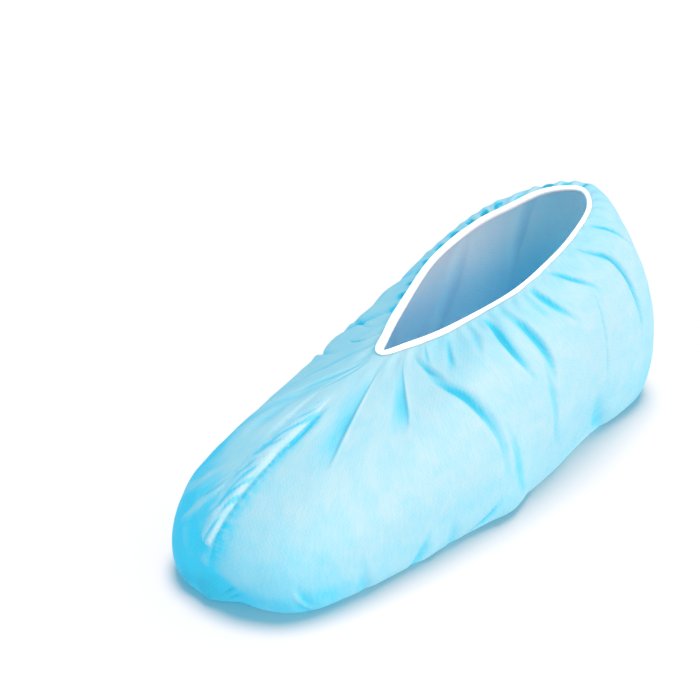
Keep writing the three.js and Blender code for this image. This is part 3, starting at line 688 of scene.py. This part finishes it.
def frame_shift():
    """From the form's own origin to the frame's, in millimetres."""
    bulge_y = SECTION_COLUMNS.index("bulge_y")
    middle_y = (SECTIONS["toe"][bulge_y] + SECTIONS["heel"][bulge_y]) / 2
    rim_x = RIM_POINTS[:, 0]
    middle_x = (rim_x.min() + rim_x.max()) / 2
    body_low, body_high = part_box("cover_body")
    tape_low, tape_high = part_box("opening_binding")
    frame_x = (tape_low.x + tape_high.x) / 2 / MM
    frame_y = (body_low.y + body_high.y) / 2 / MM
    return np.array((frame_x - middle_x, frame_y - middle_y, 0))


SHIFT = frame_shift()


def placed(points):
    """Points of the form in the frame, in metres."""
    return (points + SHIFT) * MM


# Camera and light


def new_object(name, data):
    item = bpy.data.objects.new(name, data)
    bpy.context.scene.collection.objects.link(item)
    return item


def direction(azimuth, elevation):
    """The way out from the cover: azimuth 0 is in front of the toe and 90 on the left side."""
    turn = math.radians(azimuth)
    rise = math.radians(elevation)
    level_part = math.cos(rise)
    return Vector((math.sin(turn) * level_part, -math.cos(turn) * level_part, math.sin(rise)))


def make_camera():
    back = direction(CAMERA_AZIMUTH, CAMERA_ELEVATION)
    right = Vector((-back.y, back.x, 0)).normalized()
    up = back.cross(right)
    target = Vector(CAMERA_TARGET) + Vector(SHIFT)
    place = target + CAMERA_DISTANCE * back + CAMERA_RIGHT * right + CAMERA_UP * up
    data = bpy.data.cameras.new("camera")
    data.sensor_width = SENSOR
    data.lens = FOCAL_PIXELS / FRAME_PIXELS * SENSOR
    camera = new_object("camera", data)
    turned = Matrix((right, up, back)).transposed().to_4x4()
    camera.matrix_world = Matrix.Translation(place * MM) @ turned
    bpy.context.scene.camera = camera


def make_sun(name, azimuth, elevation, angle, strength, colour):
    """A broad, even light from a direction."""
    data = bpy.data.lights.new(name, "SUN")
    data.energy = strength
    data.angle = math.radians(angle)
    data.color = colour
    light = new_object(name, data)
    light.rotation_euler = direction(azimuth, elevation).to_track_quat("Z", "Y").to_euler()
    return light


def make_studio():
    scene = bpy.context.scene
    world = bpy.data.worlds.new("studio")
    world.use_nodes = True
    background = world.node_tree.nodes["Background"]
    background.inputs["Color"].default_value = (*AMBIENT_COLOUR, 1)
    background.inputs["Strength"].default_value = AMBIENT_STRENGTH
    scene.world = world
    scene.view_settings.view_transform = "Standard"


def shine_on(light, pieces):
    """Lets a light fall on some pieces only."""
    lit = bpy.data.collections.new("lit_by_" + light.name)
    for piece in pieces:
        lit.objects.link(piece)
    light.light_linking.receiver_collection = lit


# Materials


def new_material(name):
    material = bpy.data.materials.new(name)
    material.use_nodes = True
    tree = material.node_tree
    tree.nodes.clear()
    shader = tree.nodes.new("ShaderNodeBsdfPrincipled")
    output = tree.nodes.new("ShaderNodeOutputMaterial")
    tree.links.new(shader.outputs["BSDF"], output.inputs["Surface"])
    return material, shader


def add_node(tree, kind, inputs=(), **settings):
    """A node with its settings, and its inputs set or linked by name or number."""
    node = tree.nodes.new(kind)
    for name, value in settings.items():
        setattr(node, name, value)
    for name, value in dict(inputs).items():
        set_input(tree, node.inputs[name], value)
    return node


def set_input(tree, socket, value):
    if isinstance(value, bpy.types.NodeSocket):
        tree.links.new(value, socket)
    else:
        socket.default_value = value


def calculated(tree, operation, *values):
    return add_node(tree, "ShaderNodeMath", dict(enumerate(values)), operation=operation).outputs[0]


def ranged(tree, value, low, high, to_low=0.0, to_high=1.0):
    inputs = {"Value": value, "From Min": low, "From Max": high, "To Min": to_low, "To Max": to_high}
    return add_node(tree, "ShaderNodeMapRange", inputs, interpolation_type="SMOOTHSTEP").outputs["Result"]


def mixed_colour(tree, share, first, second):
    """A colour between two, each given as a colour or linked from a socket."""
    node = add_node(tree, "ShaderNodeMix", data_type="RGBA")
    factor = next(socket for socket in node.inputs if socket.type == "VALUE")
    set_input(tree, factor, share)
    colours = [socket for socket in node.inputs if socket.type == "RGBA"]
    for socket, colour in zip(colours, (first, second)):
        set_input(tree, socket, (*colour, 1) if isinstance(colour, tuple) else colour)
    return next(socket for socket in node.outputs if socket.type == "RGBA")


def mark_of(tree, name):
    """A mark of the mesh, as a number at each place."""
    return add_node(tree, "ShaderNodeAttribute", attribute_name=name).outputs["Fac"]


def new_group(name, inputs, outputs):
    """A node group with its named number inputs, a vector input first, and its named number outputs."""
    tree = bpy.data.node_groups.new(name, "ShaderNodeTree")
    tree.interface.new_socket("Place", in_out="INPUT", socket_type="NodeSocketVector")
    for socket in inputs:
        tree.interface.new_socket(socket, in_out="INPUT", socket_type="NodeSocketFloat")
    for socket in outputs:
        tree.interface.new_socket(socket, in_out="OUTPUT", socket_type="NodeSocketFloat")
    return tree, tree.nodes.new("NodeGroupInput").outputs, tree.nodes.new("NodeGroupOutput").inputs


def flat_noise(tree, place, scale, **inputs):
    inputs = {"Vector": place, "Scale": scale, **inputs}
    return add_node(tree, "ShaderNodeTexNoise", inputs, noise_dimensions="2D").outputs[0]


def bonded_web_group():
    """A web of fine fibres, pressed together in a grid of small bonded points."""
    tree, given, out = new_group("bonded_web", ("Bonds", "Fibres"), ("Height", "Bond", "Fibre", "Cloud"))
    place = given["Place"]
    rotation = (0, 0, math.radians(BOND_TURN))
    turned = add_node(tree, "ShaderNodeMapping", {"Vector": place, "Rotation": rotation})
    grid = {"Vector": turned.outputs[0], "Scale": given["Bonds"], "Randomness": BOND_RANDOMNESS}
    bonds = add_node(tree, "ShaderNodeTexVoronoi", grid, voronoi_dimensions="2D")
    bond = ranged(tree, bonds.outputs["Distance"], *BOND_EDGE, 1.0, 0.0)
    drawn = add_node(tree, "ShaderNodeMapping", {"Vector": place, "Scale": (1, FIBRE_DRAWN, 1)})
    fine = {"Detail": FIBRE_DETAIL, "Roughness": FIBRE_ROUGHNESS}
    fibre = flat_noise(tree, drawn.outputs[0], given["Fibres"], **fine)
    pressed = calculated(tree, "MULTIPLY", bond, BOND_PRESSED)
    height = calculated(tree, "MULTIPLY_ADD", fibre, FIBRE_RAISED, pressed)
    tree.links.new(height, out["Height"])
    tree.links.new(bond, out["Bond"])
    tree.links.new(fibre, out["Fibre"])
    tree.links.new(flat_noise(tree, place, CLOUD_SCALE, Detail=CLOUD_DETAIL), out["Cloud"])
    return tree


def pucker_shade_group():
    """Shade painted in irregular short stripes across a seam, for its puckers, where the share of puckering
    is over 0.
    """
    tree, given, out = new_group("painted_seam_puckers", ("Share",), ("Depth",))
    pitch = PUCKER_PITCH * MM
    scale = (PUCKER_DRAWN / pitch, 1 / pitch, 0)
    drawn = add_node(tree, "ShaderNodeMapping", {"Vector": given["Place"], "Scale": scale})
    stripes = flat_noise(tree, drawn.outputs[0], 1.0)
    stripe = ranged(tree, stripes, *NOISE_RANGE, PUCKER_LEAST * PUCKER_SHADE, PUCKER_SHADE)
    tree.links.new(calculated(tree, "MULTIPLY", stripe, given["Share"]), out["Depth"])
    return tree


def web_on(material, shader, web, bond_pitch, roughness, bump, bump_height):
    """Lays the bonded web, its roughness and its relief on a piece's cut. Gives the cut and its values."""
    tree = material.node_tree
    place = add_node(tree, "ShaderNodeUVMap", uv_map="cut").outputs[0]
    pitches = {"Place": place, "Bonds": 1 / (bond_pitch * MM), "Fibres": 1 / (FIBRE_PITCH * MM)}
    texture = add_node(tree, "ShaderNodeGroup", pitches, node_tree=web).outputs
    set_input(tree, shader.inputs["Roughness"], ranged(tree, texture["Bond"], 0.0, 1.0, *roughness))
    relief = {"Strength": bump, "Distance": bump_height * MM, "Height": texture["Height"]}
    set_input(tree, shader.inputs["Normal"], add_node(tree, "ShaderNodeBump", relief).outputs[0])
    return place, texture


def nonwoven_material(name, web):
    """Matt non-woven cloth without its colour, its cut, and how deep the web makes the colour."""
    material, shader = new_material(name)
    tree = material.node_tree
    finish = (CLOTH_ROUGHNESS, CLOTH_BUMP, CLOTH_BUMP_HEIGHT)
    place, texture = web_on(material, shader, web, BOND_PITCH, *finish)
    shader.inputs["Sheen Weight"].default_value = CLOTH_SHEEN
    shader.inputs["Sheen Roughness"].default_value = CLOTH_SHEEN_ROUGHNESS
    cloud = ranged(tree, texture["Cloud"], *NOISE_RANGE, 0.0, CLOUD_SHARE)
    bond = calculated(tree, "MULTIPLY", texture["Bond"], BOND_SHARE)
    fibre = ranged(tree, texture["Fibre"], *FIBRE_RANGE, 0.0, FIBRE_SHARE)
    depth = calculated(tree, "ADD", calculated(tree, "ADD", cloud, bond), fibre)
    return material, shader, place, depth


def outer_nonwoven(name, web, pucker_shading, pale):
    """The outer face of the cloth, with shade painted into its colour in its folds and puckers, at the toe,
    the hem and the tape.
    """
    material, shader, place, depth = nonwoven_material(name, web)
    tree = material.node_tree
    # Shade painted in stripes beside the toe seam
    seam = {"Place": place, "Share": mark_of(tree, "pucker_shade")}
    painted_pucker_shade = add_node(tree, "ShaderNodeGroup", seam, node_tree=pucker_shading).outputs["Depth"]
    # All shade painted into the colour, in folds, puckers and the other painted places; the deepest painted
    # shade comes last
    folded_with_painted_shade = calculated(tree, "ADD", mark_of(tree, "painted_shade"), painted_pucker_shade)
    flat = mixed_colour(tree, calculated(tree, "ADD", depth, folded_with_painted_shade), pale, CLOTH_DEEP_TONE_AND_SHADE)
    colour = mixed_colour(tree, mark_of(tree, "deepest_shade"), flat, CLOTH_DEEPEST_SHADE)
    set_input(tree, shader.inputs["Base Color"], colour)
    return material


def shaded_inner_nonwoven(name, web):
    """The inner face of the cloth: its colour in painted shade, with painted light near the rim and painted
    shade in the folds, and light let through it.
    """
    material, shader, _, depth = nonwoven_material(name, web)
    tree = material.node_tree
    # The cloth's colour in painted shade, varied by the web
    flat = mixed_colour(tree, depth, INSIDE_SHADED_PALE, INSIDE_SHADED_DEEP)
    # Painted light near the rim
    lit = mixed_colour(tree, mark_of(tree, "painted_rim_light"), flat, INSIDE_LIGHT)
    # Shade painted in the folds
    folded_with_painted_shade = ranged(tree, mark_of(tree, "painted_shade"), 0.0, 1.0, 0.0, INSIDE_FOLD_SHADE_SHARE)
    set_input(tree, shader.inputs["Base Color"], mixed_colour(tree, folded_with_painted_shade, lit, INSIDE_FOLD_SHADE))
    shader.inputs["Subsurface Weight"].default_value = THROUGH_SHARE
    shader.inputs["Subsurface Radius"].default_value = THROUGH_TINT
    shader.inputs["Subsurface Scale"].default_value = THROUGH_LENGTH * MM
    return material


def tape_material(web):
    """White folded tape: the same kind of web, finer, with faint ribs across it."""
    material, shader = new_material("white_tape")
    tree = material.node_tree
    finish = (TAPE_ROUGHNESS, TAPE_BUMP, TAPE_BUMP_HEIGHT)
    _, texture = web_on(material, shader, web, TAPE_BOND_PITCH, *finish)
    shade = ranged(tree, texture["Fibre"], *NOISE_RANGE, 0.0, TAPE_GREY_SHARE)
    set_input(tree, shader.inputs["Base Color"], mixed_colour(tree, shade, TAPE_WHITE, TAPE_GREY))
    return material


def floor_material():
    material, shader = new_material("pale_floor")
    shader.inputs["Base Color"].default_value = (*FLOOR_WHITE, 1)
    shader.inputs["Roughness"].default_value = FLOOR_ROUGHNESS
    shader.inputs["Specular IOR Level"].default_value = FLOOR_GLOSS
    return material


# Meshes


def grid_of(columns, rows):
    """A grid as a bmesh, with the column and row of each of its vertices."""
    bm = bmesh.new()
    bmesh.ops.create_grid(bm, x_segments=columns, y_segments=rows, size=1)
    flat = np.array([vert.co[:] for vert in bm.verts])
    column = np.rint((flat[:, 0] + 1) / 2 * columns).astype(int)
    row = np.rint((1 - flat[:, 1]) / 2 * rows).astype(int)
    return bm, column, row


def shape_grid(bm, points, cut, marks=()):
    """Moves a grid's vertices to their places, and gives it its cut, in metres, and its marks by name."""
    layers = {name: bm.verts.layers.float.new(name) for name in dict(marks)}
    for index, (vert, point) in enumerate(zip(bm.verts, placed(points))):
        vert.co = point
        for name, layer in layers.items():
            vert[layer] = marks[name][index]
    cut_layer = bm.loops.layers.uv.new("cut")
    for face in bm.faces:
        for loop in face.loops:
            loop[cut_layer].uv = cut[loop.vert.index] * MM
    bmesh.ops.remove_doubles(bm, verts=bm.verts, dist=WELD * MM)


def add_object(name, bm, materials):
    mesh = bpy.data.meshes.new(name)
    bm.to_mesh(mesh)
    bm.free()
    mesh.shade_smooth()
    for material in materials:
        mesh.materials.append(material)
    return new_object(name, mesh)


def add_piece(name, bm, materials, node):
    """The finished object: it rides on the part's one body and stands for a node."""
    piece = add_object(name, bm, materials)
    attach(piece, "root")
    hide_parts(node)
    return piece


def thicken(piece, thickness, inner_material):
    """Gives a sheet its thickness on its inner side, with one of its materials there."""
    wall = piece.modifiers.new("thickness", "SOLIDIFY")
    wall.thickness = thickness * MM
    wall.offset = -1
    wall.material_offset = inner_material
    wall.material_offset_rim = inner_material


def row_levels():
    """The levels of the rows of points, closer together near the rim."""
    wall = (np.arange(WALL_ROWS) / WALL_ROWS) ** ROW_GROWTH
    turn = BULGE + np.arange(TURN_ROWS) / TURN_ROWS
    sole = SOLE_EDGE + SOLE_REACH * np.arange(SOLE_ROWS + 1) / SOLE_ROWS
    return np.concatenate([wall, turn, sole])


def column_turns():
    """The turns of the columns of points, closer together where the cloth shows finer folds."""
    spans = [np.linspace(low, high, count, endpoint=False) for low, high, count in COLUMN_SPANS]
    return np.concatenate([*spans, [COLUMN_SPANS[-1][1]]])


def close_sole(bm):
    """Closes the slot along the middle of the sole with one flat face."""
    edges = [edge for edge in bm.edges if edge.is_boundary and edge.verts[0].co.z < CLOTH * MM]
    sole = bmesh.ops.contextual_create(bm, geom=edges)["faces"][0]
    if sole.normal.z > 0:
        sole.normal_flip()
    cut_layer = bm.loops.layers.uv["cut"]
    for loop in sole.loops:
        beside = next(other for other in loop.vert.link_loops if other.face != sole)
        loop[cut_layer].uv = beside[cut_layer].uv


def make_cloth(outside, inside):
    levels = row_levels()
    ring = column_turns()
    bm, column, row = grid_of(len(ring) - 1, len(levels) - 1)
    points, marks = cloth_points(*np.meshgrid(ring, levels))
    across = lengths_along(smooth_wall(ring, np.full_like(ring, BULGE)))
    down = lengths_along(points)
    cut = np.stack([across[column], down[row, column]], -1)
    marks = {name: values[row, column] for name, values in marks.items()}
    # Light painted on the inner face near the rim
    marks["painted_rim_light"] = 1 - smoothstep(levels[row], *INSIDE_LIGHT_LEVELS)
    shape_grid(bm, points[row, column], cut, marks)
    close_sole(bm)
    cloth = add_piece("cloth", bm, [outside, inside], "cover_body")
    thicken(cloth, CLOTH, inner_material=1)
    return cloth


def tape_profile():
    """The section of the folded tape, from its outer edge over the rim to its inner edge and back inside.

    Gives how far out each point lies, how far above the rim, and its share of the leg below the rim.
    """
    half = CLOTH / 2 + GAP
    bend = np.linspace(0, math.pi, TAPE_BEND_POINTS)
    legs = np.linspace(1, 0, TAPE_LEG_POINTS + 1)[:-1]
    flat = np.zeros(TAPE_LEG_POINTS)
    faces = ((half + TAPE_THICKNESS, GAP + TAPE_THICKNESS, bend), (half, GAP, bend[::-1]))
    out, above, share = [], [], []
    for reach, rise, turned in faces:
        first, last = np.cos(turned[0]), np.cos(turned[-1])
        out += [reach * (flat + first), reach * np.cos(turned), reach * (flat + last)]
        above += [flat, rise * np.sin(turned), flat]
        share += [legs, np.zeros(TAPE_BEND_POINTS), legs[::-1]]
    return np.concatenate(out) - CLOTH / 2, np.concatenate(above), np.concatenate(share)


def make_tape(white):
    out, above, share = tape_profile()
    ring = column_turns()
    bm, column, row = grid_of(len(ring) - 1, len(out))
    row %= len(out)
    rim = rim_at(ring)
    outward = outward_of(ring, np.zeros_like(ring))
    down = np.cross(rim_direction(ring), outward)
    leg = tape_leg(ring) + TAPE_WAVE * noise_at(rim, TAPE_WAVE_LENGTH, "tape_wave")
    drop = leg[column] * share[row] - above[row]
    points = rim[column] + outward[column] * out[row, None] + down[column] * drop[:, None]
    cut = np.stack([lengths_along(rim)[column], drop + out[row]], -1)
    shape_grid(bm, points, cut)
    return add_piece("binding", bm, [white], "opening_binding")


def seam_width(seam, level):
    """The share of its full width that a strip has at each level."""
    width = mixed(SEAM_START, 1, smoothstep(level, seam["start"], seam["full"]))
    return width * mixed(1, SEAM_TAIL, smoothstep(level, SEAM_TAIL_FROM * seam["end"], seam["end"]))


def seam_side(seam, line, width, share):
    """How far each point of a strip lies beside its seam, ragged at the edge that the strip leans to."""
    lean = max(0, seam["left_height"] - seam["right_height"])
    rag = SEAM_RAG * lean * (seam["left_edge"] - seam["right_edge"]) / 2
    sway = SEAM_SWAY * noise_at(line, SEAM_SWAY_LENGTH, "seam_sway")
    ragged = rag * noise_at(line, SEAM_RAG_LENGTH, "seam_rag") * share
    return width * (mixed(seam["left_edge"], seam["right_edge"], share) + sway + ragged)


def seam_crumple(side, down):
    """Noise drawn out along the slanting wrinkles of a strip."""
    shortened = down * SEAM_WRINKLE_PITCH / SEAM_WRINKLE_LENGTH
    drawn = np.stack([side + SEAM_WRINKLE_SLOPE * down, shortened, np.zeros_like(side)], -1)
    return noise_at(drawn, SEAM_WRINKLE_PITCH, "seam_wrinkle")


def seam_lift(seam, share, along, width, crumple):
    """How far each point of a strip lies off the cloth: just under it at the edges and raised between."""
    edges = smoothstep(share, 0, SEAM_BEND) * smoothstep(1 - share, 0, SEAM_RUN_OUT)
    ends = smoothstep(along, 0, SEAM_TOP_END) * smoothstep(1 - along, 0, SEAM_LOW_END)
    bow = np.sin(math.pi * share)
    height = mixed(seam["left_height"], seam["right_height"], share) + seam["crown"] * bow
    wrinkle = SEAM_WRINKLE * np.clip(crumple + SEAM_WRINKLE_RISE, 0, None) * bow
    return edges * ends * (SEAM_CLOTH + SEAM_SINK + width * (height + wrinkle)) - SEAM_SINK


def make_seam(node, cloth_material):
    """A folded strip that lies on the cloth along a seam, with small wrinkles."""
    seam = SEAM_ROWS[node]
    bm, column, row = grid_of(SEAM_CELLS_ACROSS, SEAM_CELLS_ALONG)
    share = column / SEAM_CELLS_ACROSS
    levels = np.linspace(seam["start"], seam["end"], SEAM_CELLS_ALONG + 1)
    middle = np.full_like(levels, seam["station"])
    line = smooth_wall(middle, levels)
    down = lengths_along(line)[row]
    level = levels[row]
    width = seam_width(seam, level)
    side = seam_side(seam, line[row], width, share)
    turn = seam["station"] + side / station_length(middle, levels)[row]
    crumple = seam_crumple(side, down)
    face, marks = cloth_points(turn, level)
    # Shade painted into the strip's wrinkles, blending into the cloth's painted shade towards its edge
    streak = SEAM_WRINKLE_SHADE * smoothstep(-crumple, *SEAM_WRINKLE_EDGE)
    painted_shade = mixed(streak, np.clip(marks["painted_shade"], 0, 1), smoothstep(share, SEAM_BLEND, 1))
    lift = seam_lift(seam, share, row / SEAM_CELLS_ALONG, width, crumple)
    points = face + outward_of(turn, level) * lift[:, None]
    shape_grid(bm, points, np.stack([side, down], -1), {"painted_shade": painted_shade})
    bmesh.ops.reverse_faces(bm, faces=bm.faces)
    strip = add_piece(node + "_fold", bm, [cloth_material], node)
    thicken(strip, SEAM_CLOTH, inner_material=0)
    return strip


def make_floor():
    bm = bmesh.new()
    bmesh.ops.create_grid(bm, x_segments=FLOOR_CELLS, y_segments=FLOOR_CELLS, size=FLOOR_HALF * MM)
    floor = add_object("floor", bm, [floor_material()])
    floor.visible_diffuse = False
    return floor


make_camera()
make_studio()
web = bonded_web_group()
pucker_shading = pucker_shade_group()
outside = outer_nonwoven("blue_nonwoven", web, pucker_shading, CLOTH_PALE)
# The inner face, in painted shade with painted light near the rim
inside = shaded_inner_nonwoven("blue_nonwoven_inner_face_shaded", web)
cloth = make_cloth(outside, inside)
binding = make_tape(tape_material(web))
# The seam strips, in a colour lit paler as painted light
folded_with_painted_shade = outer_nonwoven("blue_nonwoven_seam_lit", web, pucker_shading, SEAM_LIT_PALE)
seams = [make_seam(node, folded_with_painted_shade) for node in SEAMS]
floor = make_floor()
shine_on(make_sun(**TOP_LIGHT), [floor, binding])
shine_on(make_sun(**KEY_LIGHT), [cloth, binding, *seams])
